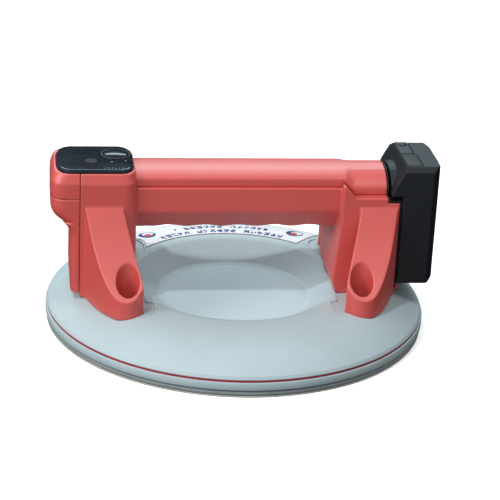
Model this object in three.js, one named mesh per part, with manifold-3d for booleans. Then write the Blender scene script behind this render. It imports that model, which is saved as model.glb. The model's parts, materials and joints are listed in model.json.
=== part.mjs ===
// Battery vacuum suction cup: a round base that seals against a flat sheet, and a bridge handle on it
// that holds a small vacuum pump in its left tower and a slide-on battery on its right tower.
//
// Millimetres. +X runs along the handle towards the battery, +Y to the back, +Z up. The origin is the
// centre of the seal's contact face.

import * as THREE from "three";
import { mergeVertices } from "three/addons/utils/BufferGeometryUtils.js";
import Module from "manifold-3d";

const wasm = await Module();
wasm.setup();

// ---------------------------------------------------------------- driving dimensions

const GAP = 0.3; // clearance between pieces that touch
const ROUND_SIDES = 48;
const SMALL_SIDES = 20;

// base
const BASE_R = 115;
const FOAM_TOP = 1.0;
const SEAL_TOP = 4.3;
const PLATE_LOW = 5.6;
const PLATE_TOP = 9.2;
const EDGE_BREAK = 0.6;
const ACCENT_TOP = 11.5;
const COVER_LOW = 11.8;
const CREST_R = 70;
const CREST_Z = 25;
const COVER_R = 114.2;
const COVER_DROP = 13.1;
const CROWN_POWER = 2.7;
const BOWL_Z = 13.5;
const PAD_Z = 21.9;
const PAD_R = 96.2;
const PAD_IN_X = 52.5;
const PAD_TOWER_X = 57.2;
const PAD_Y = 61;
const PAD_FOOT_Y = 35;
const LABEL_IN = 68;
const LABEL_OUT = 97;
const LABEL_FROM = -0.88; // angles about Z, from +Y towards +X
const LABEL_TO = 0.74;

// feet and their screws
const SCREW_X = 68.5;
const SCREW_Y = 50;
const SCREW_SEAT = 24.8;
const POCKET_R = 6.8;

// towers and grip
const FOOT_Z = 22.2;
const TOWER_Y = 25.2;
const SEAM_X = -95.4; // outer face of the left tower
const LEFT_IN_X = -62.2; // its face towards the grip
const HEAD_Z = 99;
const GRIP_Y = 19.2;
const GRIP_LOW = 60.5;
const GRIP_PART_Z = 88.9; // parting plane of the grip
const TOWER_PART_Z = 84.6; // parting plane over the right tower
const HORN_X = 59.4; // tip of the tower's horns, which rise beside the grip
const HORN_Z = 91.6;
const COVER_END_X = 86.3;
const RIGHT_OUT_X = 93.4;
const SCALLOP_PITCH = 21;
const SCALLOP_DEPTH = 1.1;

// display and buttons
const LENS = { left: -108.8, right: -64, half: 21.8, low: 98.2, top: 101, endX: 8.5, endY: 16 };
const BUTTON = { x: -73.9, y: 6, radius: 7.8 };
const RELEASE_Z = 86.9;
const RELEASE_R = 3.9;
const VALVE_LEFT = -101;
const NOSE_SPLIT = 84; // joint between the head cap and the end cover

// pump
const PUMP_X = -78;
const PUMP_R = 12.8;

// battery
const PACK = { left: 94.9, right: 117.2, half: 25.8, low: 30.5, top: 103.8, lip: 86, lipLeft: 88 };
const CELL = { radius: 9.1, length: 65, x: 106.1, y: 9.8, low: 33.9 };
const RAIL = { in: 20.7, web: 22.1, flange: 23.7, reach: 98.3, low: 32, top: 78 };
const LATCH = { x0: 97, x1: 106.4, y0: -20.6, y1: -0.2, floor: 100.4, low: 102.2, top: 104 };
const GAUGE = { x0: 97, x1: 105.2, y0: 1.4, y1: 22.4, floor: 101, low: 101.4, top: 103.9, button: 17.5 };

// ---------------------------------------------------------------- materials

const look = (color, roughness, metalness = 0) => ({ color, roughness, metalness });
const LOOKS = {
  shellRed: look(0xd0504a, 0.55),
  accentRed: look(0xb23a3c, 0.5),
  baseGrey: look(0xb4c6cb, 0.6),
  sealGrey: look(0x6f7a7b, 0.85),
  foam: look(0xb5ad94, 0.95),
  black: look(0x17181b, 0.6),
  gloss: look(0x0b0d10, 0.08),
  label: look(0xdfe0e6, 0.5),
  steel: look(0x9da1a6, 0.35, 1),
  brass: look(0xb8944e, 0.35, 1),
  rubber: look(0x1c1c1c, 0.9),
  board: look(0x1e5b3a, 0.5),
  cell: look(0x3c79b8, 0.4),
  olive: look(0x3f453a, 0.6),
  hose: look(0xd8dcd8, 0.4),
};

// ---------------------------------------------------------------- solids

/** A three.js geometry as a closed solid that can be cut and joined. */
function solidOf(geometry) {
  geometry.deleteAttribute("normal");
  geometry.deleteAttribute("uv");
  const merged = mergeVertices(geometry, 1e-4);
  const index = merged.index.array;
  const positions = merged.attributes.position.array;
  const triangles = [];
  for (let i = 0; i < index.length; i += 3) {
    const [a, b, c] = [index[i], index[i + 1], index[i + 2]];
    if (a !== b && b !== c && c !== a) {
      triangles.push(a, b, c);
    }
  }
  if (signedVolume(positions, triangles) < 0) {
    triangles.reverse();
  }
  const mesh = new wasm.Mesh({
    numProp: 3,
    vertProperties: new Float32Array(positions),
    triVerts: new Uint32Array(triangles),
  });
  return new wasm.Manifold(mesh);
}

function signedVolume(positions, triangles) {
  const corner = (i) => new THREE.Vector3().fromArray(positions, 3 * triangles[i]);
  let volume = 0;
  for (let i = 0; i < triangles.length; i += 3) {
    volume += corner(i).dot(corner(i + 1).cross(corner(i + 2))) / 6;
  }
  return volume;
}

function box(x0, x1, y0, y1, z0, z1) {
  const geometry = new THREE.BoxGeometry(x1 - x0, y1 - y0, z1 - z0);
  return solidOf(geometry.translate((x0 + x1) / 2, (y0 + y1) / 2, (z0 + z1) / 2));
}

/** A box that is symmetrical about the handle's middle plane. */
function beam(x0, x1, halfWidth, z0, z1) {
  return box(x0, x1, -halfWidth, halfWidth, z0, z1);
}

/** An upright rod. */
function rod(radius, z0, z1, x = 0, y = 0, sides = SMALL_SIDES) {
  const geometry = new THREE.CylinderGeometry(radius, radius, z1 - z0, sides).rotateX(Math.PI / 2);
  return solidOf(geometry.translate(x, y, (z0 + z1) / 2));
}

/** A rod that lies along X. */
function rodAlong(radius, x0, x1, y = 0, z = 0, sides = SMALL_SIDES) {
  const geometry = new THREE.CylinderGeometry(radius, radius, x1 - x0, sides).rotateZ(Math.PI / 2);
  return solidOf(geometry.translate((x0 + x1) / 2, y, z));
}

function shapeOf(outline) {
  return new THREE.Shape(outline.map(([u, v]) => new THREE.Vector2(u, v)));
}

function extruded(outline, depth) {
  return new THREE.ExtrudeGeometry(shapeOf(outline), { depth, bevelEnabled: false });
}

/** An outline in X and Y, raised from z0 to z1. */
function plan(outline, z0, z1) {
  return solidOf(extruded(outline, z1 - z0).translate(0, 0, z0));
}

/** An outline in X and Z, carried from y0 to y1. */
function across(outline, y0, y1) {
  return solidOf(extruded(outline, y1 - y0).rotateX(Math.PI / 2).translate(0, y1, 0));
}

/** An outline in Y and Z, carried from x0 to x1. */
function along(outline, x0, x1) {
  const turn = new THREE.Matrix4().makeBasis(
    new THREE.Vector3(0, 1, 0),
    new THREE.Vector3(0, 0, 1),
    new THREE.Vector3(1, 0, 0),
  );
  return solidOf(extruded(outline, x1 - x0).applyMatrix4(turn).translate(x0, 0, 0));
}

/** A closed profile of [radius, height] turned about Z. */
function turned(profile, sides = ROUND_SIDES) {
  const points = [...profile, profile[0]].map(([r, z]) => new THREE.Vector2(r, z));
  return solidOf(new THREE.LatheGeometry(points, sides).rotateX(Math.PI / 2));
}

/** A flat washer. */
function ring(outer, inner, z0, z1, sides = ROUND_SIDES) {
  return turned([[inner, z0], [outer, z0], [outer, z1], [inner, z1]], sides);
}

/** A ring of round wire. */
function torus(radius, wire, z) {
  return solidOf(new THREE.TorusGeometry(radius, wire, 8, 24).translate(0, 0, z));
}

/** A round bar along a curve. */
function bar(curve, radius, steps, sides = 8) {
  const section = new THREE.Shape();
  section.absarc(0, 0, radius, 0, 2 * Math.PI);
  return solidOf(new THREE.ExtrudeGeometry(section, {
    steps,
    curveSegments: sides / 2,
    extrudePath: curve,
    bevelEnabled: false,
  }));
}

/** The centre line of a coil spring about Z. */
class Helix extends THREE.Curve {
  constructor(radius, height, turns) {
    super();
    Object.assign(this, { radius, height, turns });
  }

  getPoint(t, target = new THREE.Vector3()) {
    const angle = 2 * Math.PI * this.turns * t;
    return target.set(this.radius * Math.cos(angle), this.radius * Math.sin(angle), this.height * t);
  }
}

function coil(radius, wire, height, turns) {
  return bar(new Helix(radius, height, turns), wire, turns * 10, 6);
}

/** An outline with each corner rounded over a given reach: one number, or one for each corner. */
function soften(corners, reach, steps = 4) {
  return corners.flatMap(([x, y], i) => {
    const size = Array.isArray(reach) ? reach[i] : reach;
    if (size === 0) {
      return [[x, y]];
    }
    const towards = ([nx, ny]) => {
      const share = size / Math.hypot(nx - x, ny - y);
      return new THREE.Vector2(x + (nx - x) * share, y + (ny - y) * share);
    };
    const before = towards(corners.at(i - 1));
    const after = towards(corners[(i + 1) % corners.length]);
    const curve = new THREE.QuadraticBezierCurve(before, new THREE.Vector2(x, y), after);
    return curve.getPoints(steps).map((point) => [point.x, point.y]);
  });
}

/** Both sides of a half outline that is given from the bottom to the top at y >= 0. */
function mirrored(half) {
  const other = half.map(([y, z]) => [-y, z]).reverse();
  return [...half, ...other];
}

/** Corners of a rectangle. */
function corners(u0, u1, v0, v1) {
  return [[u0, v0], [u1, v0], [u1, v1], [u0, v1]];
}

const join = (first, ...rest) => rest.reduce((whole, piece) => whole.add(piece), first);
const cut = (first, ...rest) => rest.reduce((whole, piece) => whole.subtract(piece), first);

// ---------------------------------------------------------------- the scene graph

const product = new THREE.Group();
const base = new THREE.Group();
const housing = new THREE.Group();
const pump = new THREE.Group();
const battery = new THREE.Group();
pump.position.x = PUMP_X;
housing.add(pump);
product.add(base, housing, battery);

function add(group, name, solid, finish, place = [0, 0, 0], turn = [0, 0, 0]) {
  const { vertProperties, triVerts } = solid.getMesh();
  const geometry = new THREE.BufferGeometry();
  geometry.setAttribute("position", new THREE.BufferAttribute(vertProperties, 3));
  geometry.setIndex(new THREE.BufferAttribute(triVerts, 1));
  const mesh = new THREE.Mesh(geometry, new THREE.MeshStandardMaterial(LOOKS[finish]));
  mesh.name = name;
  mesh.position.set(...place);
  mesh.rotation.set(...turn);
  group.add(mesh);
}

// ---------------------------------------------------------------- base

/** Height of the cover's crown at a radius from the crest outwards. */
function crownZ(radius) {
  const share = Math.max(0, radius - CREST_R) / (COVER_R - CREST_R);
  return CREST_Z - COVER_DROP * share ** CROWN_POWER;
}

function crownLine(from, to, steps, lift = 0) {
  return Array.from({ length: steps + 1 }, (_, i) => {
    const radius = from + ((to - from) * i) / steps;
    return [radius, crownZ(radius) + lift];
  });
}

const footPlaces = [-1, 1].flatMap((sx) => [-1, 1].map((sy) => [sx * SCREW_X, sy * SCREW_Y]));

/** The recess that a tower and its two feet stand in, grown by a margin: wider at the feet. */
function padSpace(side, grow = 0) {
  const [foot, tower] = [side * (PAD_IN_X - grow), side * (PAD_TOWER_X - grow)];
  const [far, y] = [side * BASE_R, PAD_Y + grow];
  const outline = [[far, -y], [foot, -y], [foot, -PAD_FOOT_Y], [tower, -PAD_FOOT_Y], [tower, PAD_FOOT_Y],
    [foot, PAD_FOOT_Y], [foot, y], [far, y]];
  const rounded = soften(outline, [0, 9, 3, 3, 3, 3, 9, 0]);
  return rod(PAD_R, PAD_Z, CREST_Z + 2, 0, 0, ROUND_SIDES).intersect(plan(rounded, PAD_Z, CREST_Z + 1));
}

function baseCover() {
  const bowl = [[0, BOWL_Z], [44, BOWL_Z], [47.5, 14.6], [63.5, 24.2], [66, 24.8]];
  const underside = [[110.5, COVER_LOW], [104, 15.8], [90, 18.6], [66, 18.6], [48, 10.6], [0, 10.6]];
  const shell = turned([...bowl, ...crownLine(CREST_R, COVER_R, 9), [COVER_R, COVER_LOW], ...underside]);
  const holes = footPlaces.map(([x, y]) => rod(3.3, 5, 30, x, y));
  return cut(shell, padSpace(-1), padSpace(1), rod(5, 5, 30, PUMP_X, 0), ...holes);
}

function basePlate() {
  const low = SEAL_TOP + GAP;
  const inside = BASE_R - EDGE_BREAK;
  const under = [[0, PLATE_LOW], [98, PLATE_LOW], [99, low], [inside, low], [BASE_R, low + EDGE_BREAK]];
  const shell = turned([...under, [BASE_R, PLATE_TOP - EDGE_BREAK], [inside, PLATE_TOP], [0, PLATE_TOP]]);
  return cut(shell, rod(5, 0, 12, PUMP_X, 0));
}

function sealRing() {
  const low = FOAM_TOP + GAP;
  return turned([[94, low], [114.4, low], [114.4, 3.4], [113.4, SEAL_TOP], [94, SEAL_TOP]]);
}

function infoLabel() {
  const lift = GAP + 0.3;
  const strip = turned([
    ...crownLine(LABEL_IN, LABEL_OUT, 5, GAP),
    ...crownLine(LABEL_IN, LABEL_OUT, 5, lift).reverse(),
  ]);
  const edge = (angle) => [2 * BASE_R * Math.sin(angle), 2 * BASE_R * Math.cos(angle)];
  const wedge = plan([[0, 0], edge(LABEL_TO), [0, 2 * BASE_R], edge(LABEL_FROM)], 0, 40);
  return cut(strip.intersect(wedge), padSpace(-1, 1.2), padSpace(1, 1.2));
}

add(base, "base_cover", baseCover(), "baseGrey");
add(base, "base_plate", basePlate(), "baseGrey");
add(base, "accent_ring", ring(113.6, 104, PLATE_TOP + GAP, ACCENT_TOP), "accentRed");
add(base, "seal_ring", sealRing(), "sealGrey");
add(base, "foam_ring", ring(114.2, 98, 0, FOAM_TOP), "foam");
add(base, "friction_disc", ring(68, 25, 3.2, PLATE_LOW - GAP), "rubber");
add(base, "info_label", infoLabel(), "label");
footPlaces.forEach(([x, y], i) => {
  add(base, `leg_insert_${i + 1}`, ring(6, 3.3, 0, 8.5, SMALL_SIDES), "brass", [x, y, PLATE_TOP + GAP]);
});

// ---------------------------------------------------------------- handle frame

const HEAD_SECTION = mirrored([[TOWER_Y, 20], [TOWER_Y, 93.5], [23, HEAD_Z]]);

/** Half section of the grip, then of the wider saddle over the right tower. */
const GRIP_HALF = [[0, GRIP_LOW], [7, 60.8], [11, 62], [17.5, 71], [GRIP_Y, 74.3], [GRIP_Y, GRIP_PART_Z]];
const GRIP_TOP_HALF = [[17.4, GRIP_PART_Z], [17.3, 94], [16.8, 94.8], [13, 96.4], [8, 97.7], [0, 98.2]];
const SADDLE_HALF = [[18.8, TOWER_PART_Z], [18.8, 89], [18.3, 89.9], [15, 93.4], [8, 97.2], [0, 98.2]];

/** The space below the parting line, which runs up a short horn and then down to the right tower's ledge. */
function belowParting(lift) {
  const high = GRIP_PART_Z + lift;
  const low = TOWER_PART_Z + lift;
  const horn = [[60.4, HORN_Z + lift], [HORN_X - lift, HORN_Z + lift], [HORN_X - lift, high]];
  const line = [[BASE_R, low], [66.8, low], ...horn, [-BASE_R, high]];
  return across([...line, [-BASE_R, 0], [BASE_R, 0]], -BASE_R, BASE_R);
}

/** The lens in plan: a long front and back, and ends that are rounded almost across. */
function lensOutline(grow) {
  const [x0, x1, y1] = [LENS.left - grow, LENS.right + grow, LENS.half + grow];
  const ends = [[x0, -1, -1], [x1, 1, -1], [x1, 1, 1], [x0, -1, 1]];
  return ends.flatMap(([x, sx, sy]) => {
    const side = new THREE.Vector2(x, sy * (y1 - LENS.endY));
    const edge = new THREE.Vector2(x - sx * LENS.endX, sy * y1);
    const [from, to] = sx * sy > 0 ? [side, edge] : [edge, side];
    const curve = new THREE.QuadraticBezierCurve(from, new THREE.Vector2(x, sy * y1), to);
    return curve.getPoints(6).map((point) => [point.x, point.y]);
  });
}

function lensPocket() {
  return plan(lensOutline(GAP), LENS.low - 1, 120);
}

function leftTower() {
  const outline = soften(corners(SEAM_X, LEFT_IN_X, -TOWER_Y, TOWER_Y), [0, 7, 7, 0]);
  const inner = [[LEFT_IN_X, 20], [LEFT_IN_X, 93.5], [LEFT_IN_X - 1.2, HEAD_Z]];
  const side = across([[-130, 20], ...inner, [-130, HEAD_Z]], -40, 40);
  return plan(outline, FOOT_Z, HEAD_Z).intersect(along(HEAD_SECTION, -120, -50)).intersect(side);
}

function rightTower() {
  const inner = [[65, FOOT_Z], [57.5, 25.5], [55.5, 33], [HORN_X, 74], [HORN_X, 95]];
  const outer = [[COVER_END_X, 95], [COVER_END_X, 81.5], [RIGHT_OUT_X, 81.5], [RIGHT_OUT_X, FOOT_Z]];
  const side = [...inner, ...outer];
  return across(side, -TOWER_Y, TOWER_Y);
}

/** A leg's plan, and the slope of its face from the tower down to the foot. */
const LEG_PLAN = [[92.5, 24], [92.5, 25], [90, 32], [86.5, 41], [82, 49.5], [77.5, 55.5], [74, 58.3],
  [69, 59.3], [64.5, 58], [61, 54.5], [60, 50], [70.5, 25], [70.5, 24]];
const LEG_SLOPE = [[24, 20], [60, 20], [59, 33.5], [50.5, 42.9], [41, 54.8], [33, 66.5], [25.2, 79.6],
  [24, 79.6]];

/** One flared leg: its plan, narrowed by the slope. */
function leg(sideX, sideY) {
  const flare = plan(LEG_PLAN.map(([x, y]) => [sideX * x, sideY * y]), FOOT_Z, 80);
  const body = flare.intersect(along(LEG_SLOPE.map(([y, z]) => [sideY * y, z]), -100, 100));
  const [x, y] = [sideX * SCREW_X, sideY * SCREW_Y];
  return cut(body, rod(POCKET_R, SCREW_SEAT, 70, x, y, 28), rod(3.3, 10, 40, x, y));
}

/** The grip's lower shell, with a scalloped underside for the fingers. */
function gripShell() {
  const shell = along(mirrored(GRIP_HALF), LEFT_IN_X - 1, 64);
  const dip = SCALLOP_DEPTH;
  const count = 5;
  const first = -((count - 1) / 2) * SCALLOP_PITCH;
  const scallops = Array.from({ length: count }, (_, i) => {
    const middle = first + i * SCALLOP_PITCH;
    const half = SCALLOP_PITCH / 2 - 1;
    const crest = [[-half * 0.5, dip * 0.75], [0, dip], [half * 0.5, dip * 0.75]];
    const arch = [[-half, 0], ...crest, [half, 0], [0, -2]];
    return across(arch.map(([x, z]) => [middle + x, GRIP_LOW + z]), -10, 10);
  });
  return cut(shell, ...scallops);
}

const coverScrews = [[-46, 8], [44, -8]];

function handleFrame() {
  const legs = [-1, 1].flatMap((sx) => [-1, 1].map((sy) => leg(sx, sy)));
  const whole = join(gripShell(), rightTower(), ...legs);
  const lowered = whole.intersect(belowParting(0));
  const lipRight = beam(RIGHT_OUT_X - 1, 98.5, 17, 22.5, 27);
  const lipLeft = beam(-99, SEAM_X + 1, 14, 22.5, 24.2);
  const shell = join(lowered, leftTower(), lipRight, lipLeft);
  const screwHoles = coverScrews.flatMap(([x, y]) => [rod(3.4, 58, 66, x, y), rod(1.9, 60, 90, x, y)]);
  return cut(
    shell,
    lensPocket(),
    beam(-97, -64.6, 22.8, 26, 91),
    beam(-97, -67, 19.6, 90, 100),
    rod(BUTTON.radius + 0.6, 90, 100, BUTTON.x, BUTTON.y),
    beam(-66, COVER_END_X - 2, 12, 78, 89),
    beam(66, 95, 20.4, 29, 79),
    rod(5, 20, 30, PUMP_X, 0),
    ...screwHoles,
  );
}

function gripCover() {
  const left = LEFT_IN_X + GAP;
  const shoulder = across([[-BASE_R, 80], [-BASE_R, 100], [62, 100], [66.6, 80]], -40, 40);
  const grip = along(mirrored(GRIP_TOP_HALF), left, 68).intersect(shoulder);
  const saddle = along(mirrored(SADDLE_HALF), 60, COVER_END_X);
  const shell = cut(join(grip, saddle), belowParting(GAP));
  const hollow = join(
    beam(left + 2, 84, 13, 80, 93.6),
    beam(left + 2, 84, 9, 90, 95.4),
    beam(70, 84, 16.4, 80, 88.6),
  );
  const bosses = coverScrews.map(([x, y]) => rod(3.4, GRIP_PART_Z + GAP, 94.4, x, y));
  const holes = coverScrews.map(([x, y]) => rod(1.8, 80, 93.4, x, y));
  return cut(join(cut(shell, hollow), ...bosses), ...holes);
}

/** Side outline of the nose, from the seam outwards. */
const NOSE = [[SEAM_X - GAP, HEAD_Z], [-109.4, HEAD_Z], [-111.6, 96.3], [-112.6, 91], [-112.6, 77],
  [-110, 72], [-104, 67.5], [-101.5, 63], [-101, 58], [-101, 31], [-97, 25], [SEAM_X - GAP, 24.5]];

/** The nose between two heights, or with a wall thickness the space inside it. */
function noseSolid(z0, z1, wall) {
  const reach = corners(-112.9 + wall, SEAM_X - GAP + wall, -TOWER_Y + wall, TOWER_Y - wall);
  const outline = soften(reach, [10, 0, 0, 10]);
  const side = NOSE.map(([x, z]) => [x + wall, z]);
  return plan(outline, z0, z1).intersect(across(side, -40, 40));
}

function headCap() {
  const low = NOSE_SPLIT + GAP / 2;
  const outer = noseSolid(low, HEAD_Z, 0).intersect(along(HEAD_SECTION, -120, -50));
  const hollow = join(noseSolid(low - 1, 94, 2.6), beam(-105, -95, 19.6, 90, 100));
  return cut(outer, hollow, lensPocket(), rodAlong(RELEASE_R + GAP, -116, -106, 0, RELEASE_Z));
}

function endCover() {
  const high = NOSE_SPLIT - GAP / 2;
  const hole = rodAlong(RELEASE_R + GAP, -116, -106, 0, RELEASE_Z);
  return cut(noseSolid(24.5, high, 0), noseSolid(28, high + 1, 2.4), hole);
}

function legScrew() {
  const head = rod(5, 0, 3.4);
  const socket = rod(2.6, 1.4, 5, 0, 0, 6);
  return cut(join(head, rod(3, -14.9, 0.5)), socket);
}

function coverScrew() {
  return cut(join(rod(3, 0, 2.4), rod(1.5, 2, 30)), rod(1.3, -1, 1.2, 0, 0, 6));
}

add(housing, "handle_frame", handleFrame(), "shellRed");
add(housing, "grip_cover", gripCover(), "shellRed");
add(housing, "head_cap", headCap(), "shellRed");
add(housing, "end_cover", endCover(), "shellRed");
footPlaces.forEach(([x, y], i) => {
  add(housing, `leg_screw_${i + 1}`, legScrew(), "steel", [x, y, SCREW_SEAT + GAP]);
});
coverScrews.forEach(([x, y], i) => {
  add(housing, `cover_screw_${i + 1}`, coverScrew(), "steel", [x, y, 62.8]);
});

// ---------------------------------------------------------------- display and buttons

function displayLens() {
  const slab = plan(lensOutline(0), LENS.low, LENS.top - 1);
  const face = plan(lensOutline(-1), LENS.low, LENS.top);
  return cut(join(slab, face), rod(BUTTON.radius + 1.5, 90, 110, BUTTON.x, BUTTON.y, 28));
}

function powerButton() {
  const stem = rod(3, -5, 0);
  const dome = turned([[0, -3], [BUTTON.radius, -3], [BUTTON.radius, 0.2], [6.8, 1], [4, 1.7], [0, 2]], 28);
  return join(dome, stem);
}

function displayGasket() {
  const strip = plan(lensOutline(-0.4), LENS.low - 0.8, LENS.low - 0.2);
  return cut(strip, plan(lensOutline(-2.3), 90, 110), rod(BUTTON.radius + 0.6, 90, 110, BUTTON.x, BUTTON.y));
}

function buttonRing() {
  return ring(BUTTON.radius + 1.2, BUTTON.radius + GAP, LENS.low, LENS.top + 0.3, 28);
}

add(housing, "display_lens", displayLens(), "gloss");
add(housing, "display_gasket", displayGasket(), "rubber");
add(housing, "lcd_module", beam(-104, -85, 14, 94.4, 97.6), "black");
add(housing, "control_board", beam(-104.5, -67.5, 19, 92.2, 93.8), "board");
add(housing, "power_switch", box(-3, 3, -3, 3, 0, 0.7), "black", [BUTTON.x, BUTTON.y, 94]);
add(housing, "pressure_sensor", box(-4, 4, -4, 4, -4, 0), "black", [-99, -13, 91.9]);
add(housing, "power_button", powerButton(), "gloss", [BUTTON.x, BUTTON.y, LENS.top]);
add(housing, "button_ring", buttonRing(), "black", [BUTTON.x, BUTTON.y, 0]);

// The release valve lies along X: its button, return spring and body share one axis.

function releaseButton() {
  const flange = rodAlong(RELEASE_R + 1, -109.7, -108.4);
  return join(rodAlong(RELEASE_R, -112.5, -108.5), flange, rodAlong(1.4, -108.6, -97));
}

function releaseValveBody() {
  const body = join(rodAlong(4.3, VALVE_LEFT, -92), rod(1.8, -7.5, -2, -95, 0));
  return cut(body, rodAlong(1.8, -110, -93));
}

add(housing, "release_button", releaseButton(), "olive", [0, 0, RELEASE_Z]);
add(housing, "release_valve_body", releaseValveBody(), "black", [0, 0, RELEASE_Z]);
add(housing, "release_spring", coil(3.2, 0.4, 5.9, 5), "steel", [-107.6, 0, RELEASE_Z], [0, Math.PI / 2, 0]);

// ---------------------------------------------------------------- pump, on the tower's axis

function vacuumPort() {
  const tube = join(rod(4.6, 6, 34), rod(8, PLATE_TOP + GAP, 11.5), rodAlong(1.8, -9, -3, 0, 30));
  return cut(tube, rod(2.2, 0, 40));
}

function pumpCradle() {
  const cup = rod(PUMP_R, 49.8, 57.7, 0, 0, 28);
  return cut(cup, rod(8.6, 49, 57, 0, 0, 28), rod(1.6, 50, 60), beam(0, 20, 5, 49, 55));
}

function pumpRotor() {
  return join(rod(6, 52, 55), rod(1, 54, 60.5), rod(1.2, 50.4, 53, 2.6, 0, 12));
}

function pumpMotor() {
  const can = join(rod(12, 58, 85, 0, 0, 28), rod(5, 84, 87.5));
  return cut(can, rod(1.35, 50, 61));
}

add(pump, "vacuum_port", vacuumPort(), "black");
add(pump, "port_o_ring", torus(5.9, 1, 13), "rubber");
add(pump, "port_filter", ring(7, 1, 3.9, PLATE_LOW - GAP, SMALL_SIDES), "foam");
add(pump, "check_valve", ring(5, 1.5, 34.3, 39.7, SMALL_SIDES), "olive");
add(pump, "pump_head", ring(PUMP_R, 1.5, 40, 48, 28), "black");
add(pump, "pump_diaphragm", rod(12, 48.3, 49.5, 0, 0, 28), "rubber");
add(pump, "pump_cradle", pumpCradle(), "black");
add(pump, "pump_rotor", pumpRotor(), "steel");
add(pump, "pump_motor", pumpMotor(), "steel");

function hoseLine() {
  const rise = [[-87.3, 30], [-88.6, 30], [-93, 31.6], [-95, 36], [-95, 58], [-95, RELEASE_Z - 7.8]];
  return new THREE.CatmullRomCurve3(rise.map(([x, z]) => new THREE.Vector3(x, 0, z)));
}

add(housing, "vacuum_hose", bar(hoseLine(), 2.3, 14), "hose");

// ---------------------------------------------------------------- wiring and battery terminals

function loomLine() {
  const run = [[-63.5, 84], [-20, 84], [56, 84], [68, 81], [74.5, 73], [77.5, 62.5], [81, 58.2], [83.6, 58]];
  return new THREE.CatmullRomCurve3(run.map(([x, z]) => new THREE.Vector3(x, 0, z)));
}

function terminalBlock() {
  const slots = [-6, 6].map((y) => box(85, 95, y - 0.7, y + 0.7, 53.7, 62.3));
  return cut(beam(84, RIGHT_OUT_X, 12, 50, 66), ...slots);
}

function bladeSlots(x0, x1, z0, z1) {
  return [-6, 6].map((y) => box(x0, x1, y - 0.8, y + 0.8, z0, z1));
}

/** The black liner between the tower and the battery, with the two rails that the battery slides on. */
function railPlate() {
  const inside = RIGHT_OUT_X + GAP;
  const outside = COVER_END_X + GAP;
  const liner = [[inside, 27.3], [94.6, 27.3], [94.6, 83], [87.2, 83], [87.2, 99], [outside, 99],
    [outside, 81.8], [inside, 81.8]];
  const lower = beam(80, 100, 24.6, 20, TOWER_PART_Z);
  const upper = along(mirrored([[18.8, 80], ...SADDLE_HALF.slice(1)]), 80, 100);
  const sheet = across(liner, -TOWER_Y, TOWER_Y).intersect(join(lower, upper));
  const rails = [-1, 1].flatMap((side) => {
    const web = [side * RAIL.in, side * RAIL.web].sort((a, b) => a - b);
    const flange = [side * (RAIL.web - 0.2), side * RAIL.flange].sort((a, b) => a - b);
    return [
      box(94, RAIL.reach, ...web, RAIL.low, RAIL.top),
      box(RAIL.reach - 1.2, RAIL.reach, ...flange, RAIL.low, RAIL.top),
    ];
  });
  return cut(join(sheet, ...rails), ...bladeSlots(90, 96, 53, 63));
}

add(housing, "wire_loom", bar(loomLine(), 2.4, 24), "rubber");
add(housing, "terminal_block", terminalBlock(), "black");
add(housing, "terminal_plus", box(85.5, 96.4, -0.4, 0.4, 54, 62), "brass", [0, 6, 0]);
add(housing, "terminal_minus", box(85.5, 96.4, -0.4, 0.4, 54, 62), "brass", [0, -6, 0]);
add(housing, "rail_plate", railPlate(), "black");

// ---------------------------------------------------------------- battery

function packOuter() {
  const { left, right, half, low, top, lip, lipLeft } = PACK;
  const shoulder = [[96.4, top], [90.6, 93], [lipLeft, lip]];
  const side = [[left, low], [right - 3, low], [right, low + 3], [right, top], ...shoulder, [left, lip]];
  const section = mirrored([[half, 20], [half, top - 2], [half - 2.5, top]]);
  const outline = [[80, -half], [right - 5, -half], [right, -half + 5], [right, half - 5],
    [right - 5, half], [80, half]];
  const shaped = across(side, -half, half).intersect(along(section, 80, 130));
  const block = shaped.intersect(plan(outline, 0, 120));
  const boss = along(mirrored([[18.8, lip], ...SADDLE_HALF.slice(1)]), lipLeft, left + 1);
  return join(block, boss);
}

function batteryCase() {
  const { left, low } = PACK;
  const grooves = [-1, 1].flatMap((side) => {
    const web = [side * (RAIL.in - GAP), side * (RAIL.web + GAP)].sort((a, b) => a - b);
    const flange = [side * RAIL.web, side * (RAIL.flange + GAP)].sort((a, b) => a - b);
    return [
      box(90, RAIL.reach + GAP, ...web, 20, RAIL.top + 1),
      box(RAIL.reach - 1.5, RAIL.reach + GAP, ...flange, 20, RAIL.top + 1),
    ];
  });
  return cut(
    packOuter(),
    beam(96.7, 115.5, 19.2, 32.6, 99.6),
    beam(left - 2, 97, 19.2, 32.6, 80.3),
    beam(91, 97, 17.2, 87.5, 91.5),
    box(LATCH.x0 - GAP, LATCH.x1 + GAP, LATCH.y0 - GAP, LATCH.y1 + GAP, LATCH.floor, 110),
    box(GAUGE.x0 - GAP, GAUGE.x1 + GAP, GAUGE.y0 - GAP, GAUGE.y1 + GAP, GAUGE.floor, 110),
    ...bladeSlots(left - 2, 96.8, low - 2, 36),
    ...grooves,
  );
}

function innerCover() {
  return cut(beam(PACK.left, 96.6, 18.9, 32.9, 80), ...bladeSlots(90, 100, 30, 64));
}

function gaugePanel() {
  const { x0, x1, y0, y1, low, top, button } = GAUGE;
  return cut(box(x0, x1, y0, y1, low, top), rod(2.8, low + 0.8, 110, (x0 + x1) / 2, button));
}

function latchKey() {
  return box(LATCH.x0, LATCH.x1, LATCH.y0, LATCH.y1, LATCH.low, LATCH.top);
}

function cellSolid() {
  return join(rod(CELL.radius, 0, CELL.length - 0.8, 0, 0, 28), rod(3, 10, CELL.length));
}

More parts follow.
